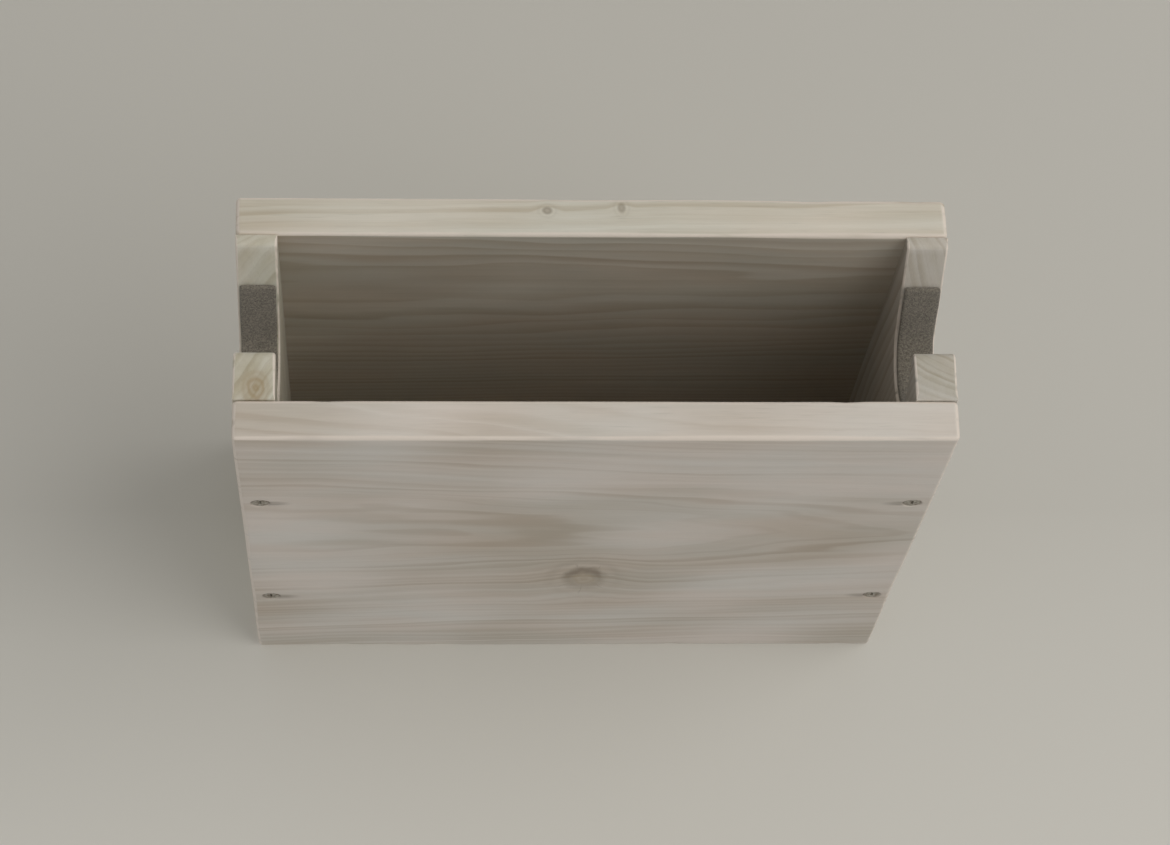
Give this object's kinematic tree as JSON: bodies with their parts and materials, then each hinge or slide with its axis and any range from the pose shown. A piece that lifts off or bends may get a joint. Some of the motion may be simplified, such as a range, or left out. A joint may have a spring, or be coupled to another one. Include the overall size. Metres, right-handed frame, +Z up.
{
  "type": "bicycle wall rack",
  "caption": "Open-front wooden wall box whose side boards have slanting, felt-lined slots that hold a bicycle by its top tube.",
  "frame": {"origin": "midway between the two wall screw holes, on the plane of the wall", "axes": "+X to the right for someone who faces the wall, +Y into the wall, +Z up"},
  "size_m": [0.325, 0.31, 0.118],
  "materials": {
    "limed_top": "whitewashed spruce, matt",
    "limed_bottom": "whitewashed spruce, matt",
    "limed_sides": "whitewashed spruce, matt",
    "rail_wood": "bare planed spruce",
    "felt": "grey-brown wool felt",
    "screw_steel": "dull zinc"
  },
  "bodies": {
    "root": {"top_board": "limed_top", "bottom_board": "limed_bottom", "left_side_board": "limed_sides", "right_side_board": "limed_sides", "back_rail": "rail_wood", "left_slot_liner": "felt", "right_slot_liner": "felt", "bottom_screw_left_front": "screw_steel", "bottom_screw_left_rear": "screw_steel", "bottom_screw_right_front": "screw_steel", "bottom_screw_right_rear": "screw_steel", "top_screw_left_front": "screw_steel", "top_screw_left_rear": "screw_steel", "top_screw_right_front": "screw_steel", "top_screw_right_rear": "screw_steel", "rail_screw_left_upper": "screw_steel", "rail_screw_left_lower": "screw_steel", "rail_screw_right_upper": "screw_steel", "rail_screw_right_lower": "screw_steel"}
  },
  "joints": []
}
